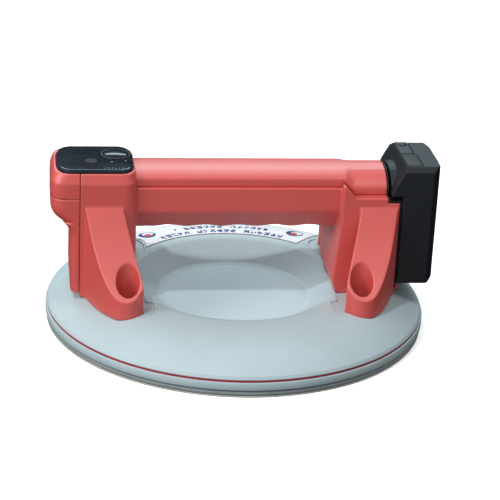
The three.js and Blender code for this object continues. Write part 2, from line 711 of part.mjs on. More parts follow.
add(battery, "battery_case", batteryCase(), "black");
add(battery, "battery_inner_cover", innerCover(), "black");
[-1, 1].forEach((side, i) => {
  add(battery, `cell_${i + 1}`, cellSolid(), "cell", [CELL.x, side * CELL.y, CELL.low]);
});
add(battery, "cell_link", beam(102, 110, 14, 33, 33.6), "steel");
add(battery, "battery_board", beam(91.6, 96.4, 15, 88.4, 90), "board");
add(battery, "battery_latch", latchKey(), "black");
add(battery, "latch_spring", coil(2.4, 0.3, 0.8, 1.5), "steel", [100.8, -9, 100.9]);
add(battery, "gauge_panel", gaugePanel(), "black");
add(battery, "gauge_button", rod(2.4, 0, 1), "black", [100.8, GAUGE.button, 103.2]);

export default product;
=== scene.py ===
import json
import math

import bmesh
import bpy
import numpy as np
from mathutils import Matrix, Vector


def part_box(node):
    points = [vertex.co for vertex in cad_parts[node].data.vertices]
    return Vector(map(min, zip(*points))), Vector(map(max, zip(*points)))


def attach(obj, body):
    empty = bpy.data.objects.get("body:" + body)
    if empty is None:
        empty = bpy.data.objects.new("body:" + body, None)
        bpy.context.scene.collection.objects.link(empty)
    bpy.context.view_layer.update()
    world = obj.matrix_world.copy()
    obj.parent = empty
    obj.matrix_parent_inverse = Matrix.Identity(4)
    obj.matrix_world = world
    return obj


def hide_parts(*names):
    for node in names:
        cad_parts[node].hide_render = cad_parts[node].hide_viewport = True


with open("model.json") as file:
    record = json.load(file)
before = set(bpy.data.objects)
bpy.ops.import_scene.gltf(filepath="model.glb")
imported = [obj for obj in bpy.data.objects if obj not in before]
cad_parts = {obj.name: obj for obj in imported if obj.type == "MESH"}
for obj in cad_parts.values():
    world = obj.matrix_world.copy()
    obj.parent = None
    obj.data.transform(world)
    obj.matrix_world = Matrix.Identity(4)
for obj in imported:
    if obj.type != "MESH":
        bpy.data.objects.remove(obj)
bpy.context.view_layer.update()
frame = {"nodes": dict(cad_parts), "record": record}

# Lengths below are millimetres in the CAD frame: +X along the handle, +Y to the back, +Z up.
MM = 0.001
TAU = 2 * math.pi


def span(node):
    """A CAD node's box in millimetres: x0, y0, z0, x1, y1, z1."""
    low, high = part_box(node)
    return [value / MM for value in (*low, *high)]


# ---------------------------------------------------------------- sizes from the frame

SHRINK = 0.02  # keeps a surface just inside the CAD box
_, _, COVER_LOW, COVER_R, _, CREST_Z = span("base_cover")
_, _, PLATE_LOW, BASE_R, _, PLATE_TOP = span("base_plate")
_, _, SEAL_LOW, SEAL_R, _, SEAL_TOP = span("seal_ring")
_, _, _, FOAM_R, _, FOAM_TOP = span("foam_ring")
_, _, FOOT_Z, _, _, HEAD_Z = span("handle_frame")
_, _, _, SEAM_OUT_X, TOWER_Y, _ = span("head_cap")
LEFT_IN_X = span("grip_cover")[0] - 0.3
COVER_END_X = span("grip_cover")[3]
GRIP_TOP_Z = span("grip_cover")[5]
LENS_X0, _, LENS_Z0, LENS_X1, LENS_Y, LENS_TOP = span("display_lens")
PACK_X0, _, PACK_LOW, PACK_X1, PACK_Y, PACK_TOP = span("battery_case")
BUTTON = span("power_button")
BUTTON_X = (BUTTON[0] + BUTTON[3]) / 2
BUTTON_Y = (BUTTON[1] + BUTTON[4]) / 2
BUTTON_R = (BUTTON[3] - BUTTON[0]) / 2
SCREW = span("leg_screw_4")
SCREW_X = (SCREW[0] + SCREW[3]) / 2
SCREW_Y = (SCREW[1] + SCREW[4]) / 2

# the base's own shape
CROWN_FROM_R = 70
CROWN_FALL = 13.1
CROWN_POWER = 2.7
SCREW_HOLE_R = 3.3
PORT_R = 5
PORT_AT = (-78, 0)

# the moulding's own shape
SEAM_X = SEAM_OUT_X + 0.3
RIGHT_OUT_X = 93.4
GRIP_Y = 19.2
GRIP_LOW = 60.5
GRIP_PART_Z = 88.9
TOWER_PART_Z = 84.6
HORN_X = 59.4
HORN_Z = 91.6
JOG_X = (60.4, 66.8)
POCKET_R = 6.8
POCKET_FLOOR = 14.6  # above the underside of the screw
SEAT_Z = 21.9
PAD_Z = 24.15
PAD_R = 96.2
PAD_IN_X = 52.5
PAD_TOWER_X = 57.2
PAD_FOOT_Y = 38.6
PAD_Y = 61.0
LABEL_FROM = -0.865  # radians from +Y towards +X
LABEL_TO = 0.725
LABEL_IN_R = 68.3
LABEL_WIDTH = 28.4
SCALLOP_PITCH = 21.0
SCALLOP_DEPTH = 1.2
LENS_END_X = 8.5
LENS_END_Y = 16.0
RELEASE_HOLE_R = 4.3
SADDLE = [(18.8, 88.2), (18.6, 89.2), (18.1, 90.2), (16.8, 91.8), (15.0, 93.4), (12.0, 95.4), (8.5, 97.0),
          (4.5, 97.9)]
BOSS_TOP = 98.2

# ---------------------------------------------------------------- mesh helpers


def new_object(name, points, faces):
    """A mesh object from points in millimetres."""
    mesh = bpy.data.meshes.new(name)
    mesh.from_pydata([tuple(MM * v for v in point) for point in points], [], faces)
    mesh.validate()
    shape = bmesh.new()
    shape.from_mesh(mesh)
    bmesh.ops.remove_doubles(shape, verts=shape.verts, dist=1e-7)
    bmesh.ops.recalc_face_normals(shape, faces=shape.faces)
    shape.to_mesh(mesh)
    shape.free()
    made = bpy.data.objects.new(name, mesh)
    bpy.context.scene.collection.objects.link(made)
    return made


def loft(name, loops):
    """A closed skin through loops of equal length, with its ends capped."""
    count = len(loops[0])
    points = [point for loop in loops for point in loop]
    faces = [tuple(reversed(range(count)))]
    for level in range(len(loops) - 1):
        low, high = level * count, (level + 1) * count
        for i in range(count):
            j = (i + 1) % count
            faces.append((low + i, low + j, high + j, high + i))
    faces.append(tuple(range((len(loops) - 1) * count, len(loops) * count)))
    return new_object(name, points, faces)


def lathe(name, profile, sides=256, at=(0, 0)):
    """A closed profile of (radius, height) turned about an upright axis."""
    points, rings = [], []
    for r, z in profile:
        if r < 1e-6:
            rings.append([len(points)] * sides)
            points.append((at[0], at[1], z))
            continue
        rings.append(list(range(len(points), len(points) + sides)))
        for i in range(sides):
            angle = TAU * i / sides
            points.append((at[0] + r * math.cos(angle), at[1] + r * math.sin(angle), z))
    faces = []
    for a, b in zip(rings, rings[1:] + rings[:1]):
        for i in range(sides):
            j = (i + 1) % sides
            corners = list(dict.fromkeys((a[i], a[j], b[j], b[i])))
            if len(corners) > 2:
                faces.append(tuple(corners))
    return new_object(name, points, faces)


def soften(corners, reach, steps=8):
    """An outline whose corners are rounded over a reach: one number, or one for each corner."""
    result = []
    for i, corner in enumerate(corners):
        size = reach[i] if isinstance(reach, (list, tuple)) else reach
        here = Vector(corner)
        if size == 0:
            result.append(tuple(here))
            continue
        before = Vector(corners[i - 1]) - here
        after = Vector(corners[(i + 1) % len(corners)]) - here
        start = here + before.normalized() * size
        end = here + after.normalized() * size
        for k in range(steps + 1):
            t = k / steps
            result.append(tuple((1 - t) ** 2 * start + 2 * t * (1 - t) * here + t * t * end))
    return result


def rectangle(u0, u1, v0, v1):
    return [(u0, v0), (u1, v0), (u1, v1), (u0, v1)]


def plan(name, outline, z0, z1):
    return loft(name, [[(x, y, z) for x, y in outline] for z in (z0, z1)])


def across(name, outline, y0, y1):
    return loft(name, [[(x, y, z) for x, z in outline] for y in (y0, y1)])


def along(name, outline, x0, x1):
    return loft(name, [[(x, y, z) for y, z in outline] for x in (x0, x1)])


def block(name, x0, x1, y0, y1, z0, z1):
    return plan(name, rectangle(x0, x1, y0, y1), z0, z1)


def rod(name, radius, z0, z1, at=(0, 0), sides=64):
    return lathe(name, [(0, z0), (radius, z0), (radius, z1), (0, z1)], sides, at)


def rod_along(name, radius, x0, x1, y=0.0, z=0.0, sides=64):
    turns = [TAU * i / sides for i in range(sides)]
    loops = [[(x, y + radius * math.cos(a), z + radius * math.sin(a)) for a in turns] for x in (x0, x1)]
    return loft(name, loops)


def apply_modifiers(made):
    """Replaces the mesh by what its modifiers make of it."""
    bpy.context.view_layer.update()
    graph = bpy.context.evaluated_depsgraph_get()
    final = bpy.data.meshes.new_from_object(made.evaluated_get(graph))
    made.modifiers.clear()
    made.data = final
    return made


def combine(target, tools, operation):
    """Joins, cuts or intersects the target with each tool, and deletes the tools."""
    for tool in tools:
        step = target.modifiers.new("combine", "BOOLEAN")
        step.operation = operation
        step.solver = "EXACT"
        step.object = tool
        apply_modifiers(target)
        bpy.data.objects.remove(tool)
    return target


def join(target, *tools):
    return combine(target, tools, "UNION")


def cut(target, *tools):
    return combine(target, tools, "DIFFERENCE")


def keep(target, *tools):
    return combine(target, tools, "INTERSECT")


def mould(made, voxel=0.55, rounding=4, share=0.5):
    """Turns hard edges into the small radii of a moulding: an even remesh, smoothed and thinned out."""
    step = made.modifiers.new("even", "REMESH")
    step.mode = "VOXEL"
    step.voxel_size = voxel * MM
    apply_modifiers(made)
    if rounding:
        step = made.modifiers.new("round", "SMOOTH")
        step.factor = 0.5
        step.iterations = rounding
    if share < 1:
        step = made.modifiers.new("thin", "DECIMATE")
        step.ratio = share
    apply_modifiers(made)
    return made


def smooth(made, angle=35):
    made.data.shade_smooth()
    made.data.set_sharp_from_angle(angle=math.radians(angle))
    return made


def bevelled(made, width, segments=3, angle=30):
    step = made.modifiers.new("edges", "BEVEL")
    step.width = width * MM
    step.segments = segments
    step.limit_method = "ANGLE"
    step.angle_limit = math.radians(angle)
    apply_modifiers(made)
    return made


def finish_piece(made, material, body, slot, *nodes, angle=35):
    """Gives a piece its material and its body, and hides the CAD nodes that it stands for."""
    smooth(made, angle)
    made.data.materials.clear()
    made.data.materials.append(material)
    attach(made, body)
    if nodes:
        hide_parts(*nodes)
    return made


# ---------------------------------------------------------------- materials


class Nodes:
    """A small helper that builds one material's node tree."""

    def __init__(self, name):
        self.material = bpy.data.materials.new(name)
        self.material.use_nodes = True
        self.tree = self.material.node_tree
        self.shader = self.tree.nodes["Principled BSDF"]
        self.place = self.add("ShaderNodeTexCoord").outputs["Object"]

    def add(self, kind, **values):
        node = self.tree.nodes.new(kind)
        for key, value in values.items():
            if hasattr(node, key):
                setattr(node, key, value)
            else:
                node.inputs[key].default_value = value
        return node

    def link(self, source, target):
        self.tree.links.new(source, target)

    def set(self, **values):
        for key, value in values.items():
            self.shader.inputs[key.replace("_", " ")].default_value = value

    def noise(self, scale, detail=2.0, rough=0.5, stretch=None):
        node = self.add("ShaderNodeTexNoise", Scale=scale, Detail=detail, Roughness=rough)
        source = self.place
        if stretch:
            mapping = self.add("ShaderNodeMapping", Scale=stretch)
            self.link(source, mapping.inputs["Vector"])
            source = mapping.outputs["Vector"]
        self.link(source, node.inputs["Vector"])
        return node.outputs["Fac"]

    def ramp(self, source, stops):
        """A colour ramp of (position, colour)."""
        node = self.add("ShaderNodeValToRGB")
        elements = node.color_ramp.elements
        while len(elements) < len(stops):
            elements.new(0.5)
        for element, (position, colour) in zip(elements, stops):
            element.position = position
            element.color = (*colour, 1)
        self.link(source, node.inputs["Fac"])
        return node.outputs["Color"]

    def math(self, operation, a, b=None):
        node = self.add("ShaderNodeMath", operation=operation)
        for i, value in enumerate((a, b)):
            if value is None:
                continue
            if isinstance(value, (int, float)):
                node.inputs[i].default_value = value
            else:
                self.link(value, node.inputs[i])
        return node.outputs["Value"]

    def mix(self, fac, a, b, blend="MIX"):
        node = self.add("ShaderNodeMix", data_type="RGBA", blend_type=blend)
        for name, value in (("Factor", fac), ("A", a), ("B", b)):
            socket = [s for s in node.inputs if s.name == name and s.enabled][0]
            if isinstance(value, (int, float)):
                socket.default_value = value
            elif isinstance(value, tuple):
                socket.default_value = (*value, 1)
            else:
                self.link(value, socket)
        return [s for s in node.outputs if s.name == "Result" and s.enabled][0]

    def flat_place(self):
        """The X and Y of the point that is shaded, in metres."""
        split = self.add("ShaderNodeSeparateXYZ")
        self.link(self.place, split.inputs["Vector"])
        return split.outputs["X"], split.outputs["Y"]

    def length(self, x, y):
        return self.math("SQRT", self.math("ADD", self.math("MULTIPLY", x, x), self.math("MULTIPLY", y, y)))

    def disc(self, x, y, at, size):
        """One inside a round spot seen from above, zero outside it."""
        away = self.length(self.math("SUBTRACT", x, MM * at[0]), self.math("SUBTRACT", y, MM * at[1]))
        return self.math("LESS_THAN", away, MM * size)

    def colour(self, source):
        self.link(source, self.shader.inputs["Base Color"])

    def roughness(self, source, low, high):
        node = self.add("ShaderNodeMapRange")
        node.inputs["To Min"].default_value = low
        node.inputs["To Max"].default_value = high
        self.link(source, node.inputs["Value"])
        self.link(node.outputs["Result"], self.shader.inputs["Roughness"])

    def bump(self, source, strength, distance):
        node = self.add("ShaderNodeBump", Strength=strength, Distance=distance)
        self.link(source, node.inputs["Height"])
        self.link(node.outputs["Normal"], self.shader.inputs["Normal"])


def shade(colour, factor):
    return tuple(min(1.0, channel * factor) for channel in colour)


def moulded(name, colour, rough=(0.42, 0.55), grain=2600, depth=0.00006, variety=0.06, shine=0.5, bloom=0.0):
    """Textured plastic: a fine spark-eroded grain, a faint mottle and a slightly worn gloss."""
    n = Nodes(name)
    mottle = n.noise(38, 4, 0.6)
    fine = n.noise(grain, 2, 0.6)
    wide = n.ramp(mottle, [(0.3, shade(colour, 1 - variety)), (0.7, shade(colour, 1 + variety))])
    speck = n.ramp(fine, [(0.35, (0.86, 0.86, 0.86)), (0.65, (1.0, 1.0, 1.0))])
    n.colour(n.mix(0.35, wide, speck, "MULTIPLY"))
    n.roughness(mottle, *rough)
    n.bump(fine, 0.5, depth)
    n.set(Specular_IOR_Level=shine, Sheen_Weight=bloom, Sheen_Roughness=0.5)
    return n.material


def polished(name):
    """Polished black plastic with faint smears in its gloss. Returns the nodes and the colour they give."""
    n = Nodes(name)
    smear = n.noise(55, 5, 0.65, (1, 2.4, 1))
    dark = n.ramp(smear, [(0.35, GLOSS), (0.75, shade(GLOSS, 3.2))])
    n.roughness(smear, 0.04, 0.14)
    n.bump(n.noise(240, 2), 0.05, 0.00002)
    n.set(Specular_IOR_Level=0.2, Specular_Tint=(0.75, 0.9, 1.0, 1.0))
    return n, dark


def gloss_black(name):
    n, dark = polished(name)
    n.colour(dark)
    return n.material


def display_glass(name):
    """The lens: gloss black with a faint round window, two indicator dots and a row of small level marks."""
    n, dark = polished(name)
    x, y = n.flat_place()
    marks = 0.0
    for spot_x, spot_y, size in DISPLAY_SPOTS:
        marks = n.math("MAXIMUM", n.disc(x, y, (spot_x, spot_y), size), marks)
    window = n.math("MULTIPLY", n.disc(x, y, DISPLAY_WINDOW, DISPLAY_WINDOW_R), 0.12)
    n.colour(n.mix(n.math("MAXIMUM", marks, window), dark, (0.32, 0.38, 0.42)))
    return n.material


def rubbery(name, colour, grain=1500):
    n = Nodes(name)
    dust = n.noise(60, 5, 0.65)
    n.colour(n.ramp(dust, [(0.3, shade(colour, 0.82)), (0.75, shade(colour, 1.25))]))
    n.roughness(dust, 0.72, 0.9)
    n.bump(n.noise(grain, 3), 0.35, 0.00008)
    return n.material


def foamy(name, colour):
    """Closed-cell foam: small round cells seen at the cut face."""
    n = Nodes(name)
    cells = n.add("ShaderNodeTexVoronoi", Scale=1400)
    n.link(n.place, cells.inputs["Vector"])
    n.colour(n.ramp(cells.outputs["Distance"], [(0.1, shade(colour, 0.7)), (0.6, colour)]))
    n.roughness(n.noise(90, 3), 0.85, 0.97)
    n.bump(cells.outputs["Distance"], 0.5, 0.00012)
    return n.material


def metal(name, colour, rough=(0.22, 0.42), stretch=(1, 1, 12)):
    """Machined metal: fine turning marks and slight tarnish."""
    n = Nodes(name)
    marks = n.noise(900, 3, 0.6, stretch)
    n.colour(n.ramp(n.noise(70, 4), [(0.3, shade(colour, 0.82)), (0.7, colour)]))
    n.roughness(marks, *rough)
    n.bump(marks, 0.15, 0.00002)
    n.set(Metallic=1.0)
    return n.material


def circuit(name):
    """Green solder mask with fine lighter tracks."""
    n = Nodes(name)
    tracks = n.add("ShaderNodeTexBrick", Scale=160)
    n.link(n.place, tracks.inputs["Vector"])
    fine = n.noise(300, 3)
    n.colour(n.mix(tracks.outputs["Fac"], (0.012, 0.11, 0.045), (0.05, 0.25, 0.1)))
    n.roughness(fine, 0.3, 0.5)
    n.bump(tracks.outputs["Fac"], 0.3, 0.00003)
    return n.material


def wrapped(name, colour):
    """Shrink-wrapped cell."""
    n = Nodes(name)
    wrinkles = n.noise(180, 4, 0.5, (1, 1, 0.2))
    n.colour(n.ramp(wrinkles, [(0.3, shade(colour, 0.85)), (0.7, shade(colour, 1.15))]))
    n.roughness(wrinkles, 0.25, 0.4)
    n.bump(wrinkles, 0.2, 0.00006)
    return n.material


def hose_material(name):
    n = Nodes(name)
    cloud = n.noise(200, 3)
    n.colour(n.ramp(cloud, [(0.3, (0.5, 0.53, 0.52)), (0.7, (0.72, 0.75, 0.73))]))
    n.roughness(cloud, 0.3, 0.45)
    n.set(Subsurface_Weight=0.2)
    return n.material


def printed_label(name):
    """White film with navy rows of made-up glyphs and two plain ring marks, laid out on the base's circle."""
    n = Nodes(name)
    x, y = n.flat_place()
    radius = n.math("MULTIPLY", n.length(x, y), 1000)
    angle = n.math("ARCTAN2", x, y)

    def between(value, low, high):
        return n.math("MULTIPLY", n.math("GREATER_THAN", value, low), n.math("LESS_THAN", value, high))

    def row(low, high, start, end, seed):
        """One row of glyphs: random cells, three wide and four tall for each letter."""
        along_row = n.math("MULTIPLY", n.math("ADD", angle, 2 + seed), 0.5 * (low + high))
        place = n.math("DIVIDE", along_row, LETTER_PITCH)
        letter = n.math("FLOOR", place)
        inside = n.math("FRACT", place)
        tall = n.math("MULTIPLY", n.math("SUBTRACT", radius, low), 4 / (high - low))
        cell = n.add("ShaderNodeCombineXYZ")
        n.link(n.math("FLOOR", n.math("MULTIPLY", inside, 3.8)), cell.inputs["X"])
        n.link(n.math("FLOOR", tall), cell.inputs["Y"])
        n.link(letter, cell.inputs["Z"])
        chance = n.add("ShaderNodeTexWhiteNoise", noise_dimensions="3D")
        n.link(cell.outputs["Vector"], chance.inputs["Vector"])
        ink = n.math("GREATER_THAN", chance.outputs["Value"], 0.3)
        gap = n.math("LESS_THAN", inside, 0.79)
        space = n.math("GREATER_THAN", n.math("FRACT", n.math("MULTIPLY", letter, 0.1429)), 0.08)
        mark = n.math("MULTIPLY", n.math("MULTIPLY", ink, gap), space)
        area = n.math("MULTIPLY", between(radius, low, high), between(angle, start, end))
        return n.math("MULTIPLY", mark, area)

    def disc(turn, reach, size):
        return n.disc(x, y, (reach * math.sin(turn), reach * math.cos(turn)), size)

    rows = n.math("MAXIMUM", row(69.8, 74.6, -0.60, 0.58, 0.0), row(77.4, 82.2, -0.40, 0.38, 3.0))
    rows = n.math("MAXIMUM", rows, row(85.2, 90.0, -0.28, 0.28, 5.0))
    rings = []
    dots = []
    for centre in (-0.64, 0.60):
        outer, inner = disc(centre, 82.5, 5.6), disc(centre + 0.012, 83.4, 3.6)
        rings.append(n.math("MULTIPLY", outer, n.math("SUBTRACT", 1.0, inner)))
        dots.append(disc(centre, 81.5, 2.3))
    navy = n.math("MAXIMUM", rows, n.math("MAXIMUM", *rings))
    red = n.math("MAXIMUM", *dots)
    paper = n.ramp(n.noise(90, 3), [(0.3, (0.76, 0.78, 0.8)), (0.7, (0.82, 0.84, 0.86))])
    inked = n.mix(navy, paper, (0.02, 0.03, 0.2))
    n.colour(n.mix(red, inked, (0.6, 0.04, 0.03)))
    n.roughness(n.noise(200, 2), 0.3, 0.42)
    return n.material


GLOSS = (0.006, 0.009, 0.013)
DISPLAY_SPOTS = [(-76.6, -6.9, 0.55), (-68.4, -5.3, 0.55), *[(-80.9 + 2.06 * i, -18.0, 0.4) for i in range(6)]]
DISPLAY_WINDOW = (-88.8, -5)
DISPLAY_WINDOW_R = 3.6
LETTER_PITCH = 4.4
RED = (0.585, 0.062, 0.05)
MATERIALS = {
    "housing_red": moulded("coral_plastic", RED, (0.4, 0.5), variety=0.035, shine=1.0, bloom=0.05),
    "accent_red": moulded("accent_plastic", (0.31, 0.022, 0.028), (0.4, 0.5), variety=0.05),
    "base_grey": moulded("grey_plastic", (0.40, 0.50, 0.53), (0.5, 0.62), 2200, 0.00009, 0.03),
    "seal_rubber": rubbery("seal_rubber", (0.22, 0.26, 0.27)),
    "foam": foamy("foam", (0.46, 0.45, 0.40)),
    "black_plastic": moulded("black_plastic", (0.0035, 0.0055, 0.0085), (0.5, 0.62), 1900, 0.00008, 0.15,
                             0.38),
    "display_gloss": gloss_black("gloss_black"),
    "display_glass": display_glass("display_glass"),
    "label_print": printed_label("label_print"),
    "steel": metal("steel", (0.5, 0.51, 0.53)),
    "motor_metal": metal("motor_metal", (0.56, 0.57, 0.59), (0.3, 0.45)),
    "brass": metal("brass", (0.58, 0.40, 0.14)),
    "black_rubber": rubbery("black_rubber", (0.016, 0.016, 0.016)),
    "circuit_board": circuit("circuit_board"),
    "cell_wrap": wrapped("cell_wrap", (0.04, 0.16, 0.42)),
    "olive_plastic": moulded("olive_plastic", (0.035, 0.045, 0.03), (0.45, 0.6)),
    "clear_hose": hose_material("hose"),
}


# ---------------------------------------------------------------- base


def crown_z(radius):
    """The cover's crown, falling from its crest to the rim."""
    share = max(0.0, radius - CROWN_FROM_R) / (COVER_R - CROWN_FROM_R)
    return CREST_Z - SHRINK - CROWN_FALL * share**CROWN_POWER


def smooth_line(points, steps=6):
    """A curve through the points, by Catmull-Rom."""
    result = []
    padded = [points[0], *points, points[-1]]
    for i in range(1, len(padded) - 2):
        p0, p1, p2, p3 = (Vector(p) for p in padded[i - 1 : i + 3])
        for k in range(steps):
            t = k / steps
            bend = (2 * p0 - 5 * p1 + 4 * p2 - p3) * t * t
            twist = (3 * p1 - p0 - 3 * p2 + p3) * t**3
            result.append(tuple(0.5 * ((2 * p1) + (p2 - p0) * t + bend + twist)))
    return [*result, tuple(points[-1])]


def pad_outline(side, grow=0.0):
    """Recess for a tower and its two feet: wider at the feet."""
    foot, tower, far = side * (PAD_IN_X - grow), side * (PAD_TOWER_X - grow), side * 110
    y = PAD_Y + grow
    corners = [(far, -y), (foot, -y), (foot, -PAD_FOOT_Y), (tower, -PAD_FOOT_Y), (tower, PAD_FOOT_Y),
               (foot, PAD_FOOT_Y), (foot, y), (far, y)]
    return soften(corners, [0, 13, 2.0, 2.4, 2.4, 2.0, 13, 0])


def foot_outline(side_x, side_y, grow=0.0):
    """Plan of one leg: rounded on the inside, straight where it meets its tower."""
    corner = [(92.5, 22), (92.5, 25), (90, 32), (86.5, 41), (82, 49.5), (77.5, 55.5), (74, 58.3), (69, 59.3),
              (64.5, 58), (61, 54.5), (60, 50), (70.5, 25), (70.5, 22)]
    centre = Vector((76, 40))
    outline = []
    for point in [corner[0], *smooth_line(corner[1:-1], 5), corner[-1]]:
        away = Vector(point) - centre
        x, y = Vector(point) + away.normalized() * grow
        outline.append((side_x * x, side_y * y))
    return outline


def pad_cutters(side):
    """The shallow recess round a tower and its feet, and the deeper seat right under them."""
    shallow = keep(plan("pad", pad_outline(side), PAD_Z, 40), rod("reach", PAD_R, PAD_Z - 1, 41, sides=256))
    inner = 58.2 if side > 0 else -LEFT_IN_X - 0.4
    seat = block("seat", *sorted((side * inner, side * 99.2)), -TOWER_Y - 0.4, TOWER_Y + 0.4, SEAT_Z, 40)
    feet = [plan("foot", foot_outline(side, sign, 0.4), SEAT_Z, 40) for sign in (-1, 1)]
    return shallow, seat, *feet


def base_cover():
    bowl = [(0, 13.5), (41, 13.5), (44, 13.6), (46.5, 14.2), (48.8, 15.4), (61, 22.9), (63.2, 24.05),
            (65.6, 24.75), (69, 24.97)]
    crown = [(r, crown_z(r)) for r in np.linspace(CROWN_FROM_R, COVER_R - 0.9, 34)]
    rim = [(COVER_R - 0.3, COVER_LOW + 0.9), (COVER_R, COVER_LOW + 0.4), (COVER_R - 0.1, COVER_LOW)]
    under = [(110.5, COVER_LOW), (104, 15.8), (90, 18.6), (66, 18.6), (48, 10.6), (0, 10.6)]
    cover = lathe("base_cover_shell", smooth_line(bowl, 5) + crown + rim + under)
    cut(cover, *pad_cutters(-1), *pad_cutters(1))
    holes = [rod("hole", SCREW_HOLE_R, 0, 40, (sx * SCREW_X, sy * SCREW_Y)) for sx in (-1, 1) for sy in (-1, 1)]
    cut(cover, *holes, rod("port_hole", PORT_R, 0, 40, PORT_AT))
    return finish_piece(cover, MATERIALS["base_grey"], "cup", "base_grey", "base_cover", angle=24)


def base_plate():
    edge = 0.5
    band = [(99, PLATE_LOW), (BASE_R - edge, PLATE_LOW), (BASE_R - 0.12, PLATE_LOW + 0.16),
            (BASE_R, PLATE_LOW + edge)]
    top = [(BASE_R, PLATE_TOP - edge), (BASE_R - 0.15, PLATE_TOP - 0.15), (BASE_R - edge, PLATE_TOP)]
    plate = lathe("base_plate_shell", [(0, 5.6), (98, 5.6), *band, *top, (0, PLATE_TOP)])
    cut(plate, rod("port_hole", PORT_R, 0, 20, PORT_AT))
    return finish_piece(plate, MATERIALS["base_grey"], "cup", "base_grey", "base_plate")


def rounded_ring(name, inner, outer, low, high, edge, sides=256):
    profile = soften([(inner, low), (outer, low), (outer, high), (inner, high)], edge, 4)
    return lathe(name, profile, sides)


def base_rings():
    accent = rounded_ring("accent_band", 104, COVER_R - 0.15, PLATE_TOP + 0.05, COVER_LOW - 0.05, 0.2)
    finish_piece(accent, MATERIALS["accent_red"], "cup", "accent_red", "accent_ring")
    low, high = SEAL_LOW, SEAL_TOP
    outline = [(94, low), (SEAL_R - 0.5, low), (SEAL_R, low + 0.5), (SEAL_R, low + 1.7),
               (SEAL_R - 0.3, low + 2.1), (SEAL_R - 1.2, high - 0.5), (SEAL_R - 1.3, high), (94, high)]
    seal = lathe("seal_lip", soften(outline, 0.2, 3))
    finish_piece(seal, MATERIALS["seal_rubber"], "cup", "seal_rubber", "seal_ring")
    foam = rounded_ring("foam_face", 98, FOAM_R, 0, FOAM_TOP, 0.3)
    finish_piece(foam, MATERIALS["foam"], "cup", "foam", "foam_ring")
    _, _, z0, outer, _, z1 = span("friction_disc")
    pad = rounded_ring("friction_pad", 25, outer, z0, z1, 0.6)
    grooves = [rounded_ring("groove", r, r + 1.5, z0 - 1, z0 + 0.8, 0.2) for r in range(30, 66, 6)]
    cut(pad, *grooves)
    finish_piece(pad, MATERIALS["black_rubber"], "cup", "black_rubber", "friction_disc")


def info_label():
    """A thin printed film that follows the crown and keeps clear of the recesses."""
    rows, sides = 14, 100
    loops = []
    for k in range(sides + 1):
        angle = TAU / 4 - (LABEL_FROM + (LABEL_TO - LABEL_FROM) * k / sides)
        ring = []
        for lift, steps in ((0.32, range(rows + 1)), (0.56, reversed(range(rows + 1)))):
            for i in steps:
                r = LABEL_IN_R + LABEL_WIDTH * i / rows
                ring.append((r * math.cos(angle), r * math.sin(angle), crown_z(r) + lift))
        loops.append(ring)
    label = loft("label_film", loops)
    cut(label, *[plan("pad", pad_outline(side, 1.4), SEAT_Z - 4, 40) for side in (-1, 1)])
    return finish_piece(label, MATERIALS["label_print"], "cup", "label_print", "info_label")


# ---------------------------------------------------------------- handle


def left_tower():
    def ring(inset_y, inset_x, z):
        y = TOWER_Y - inset_y
        outline = soften(rectangle(SEAM_X, LEFT_IN_X - inset_x, -y, y), [0, 8.5, 8.5, 0])
        return [(px, py, z) for px, py in outline]

    rings = [ring(0, 0, FOOT_Z), ring(0, 0, 93.2), ring(0.4, 0.2, 94.0), ring(2.0, 1.1, HEAD_Z - 0.5),
             ring(2.6, 1.5, HEAD_Z)]
    return loft("left_tower", rings)


def right_tower():
    side = [(65, FOOT_Z), (57.5, 25.5), (55.5, 33), (HORN_X, 74), (HORN_X, 98), (COVER_END_X, 98),
            (COVER_END_X, 81.5), (RIGHT_OUT_X, 81.5), (RIGHT_OUT_X, FOOT_Z)]
    return across("right_tower", side, -TOWER_Y, TOWER_Y)


def leg(side_x, side_y):
    """One leg, and the tools that cut its screw pocket and hole."""
    flare = plan("leg", foot_outline(side_x, side_y), FOOT_Z, 82)
    slope = [(59.6, 33.1), (50.5, 42.6), (41, 54.6), (33, 66.2), (25.2, 79.6)]
    profile = [(20, 10), (70, 10), (70, 33.1), *smooth_line(slope, 5), (20, 79.6)]
    body = keep(flare, along("slope", [(side_y * y, z) for y, z in profile], -110, 110))
    at = (side_x * SCREW_X, side_y * SCREW_Y)
    return body, rod("pocket", POCKET_R, SCREW[2] + POCKET_FLOOR, 75, at), rod("hole", SCREW_HOLE_R, 5, 60, at)


def grip_shell():
    """The lower half of the grip, with finger waves along its underside."""
    half = [(0, GRIP_LOW), (5, 60.55), (8.5, 61.0), (11.2, 62.2), (13.2, 64.0), (17.5, 71), (18.9, 73.4),
            (GRIP_Y, 75.0), (GRIP_Y, 98)]
    loops = []
    for x in np.arange(LEFT_IN_X - 2, 65.01, 1.0):
        wave = 0.5 + 0.5 * math.cos(TAU * x / SCALLOP_PITCH)
        fade = min(1.0, max(0.0, (58 - abs(x)) / 6))
        ring = []
        for y, z in half:
            low = max(0.0, 1 - (z - GRIP_LOW) / 7)
            ring.append((x, y, z + SCALLOP_DEPTH * wave * low * fade))
        loops.append(ring + [(px, -py, pz) for px, py, pz in reversed(ring[1:])])
    return loft("grip_shell", loops)


def parting_line(lift):
    """Outline below the step in the parting line, seen from the front."""
    high, low, top = GRIP_PART_Z + lift, TOWER_PART_Z + lift, HORN_Z + lift
    return [(-120, 0), (120, 0), (120, low), (JOG_X[1], low), (JOG_X[0], top), (HORN_X - lift, top),
            (HORN_X - lift, high), (-120, high)]


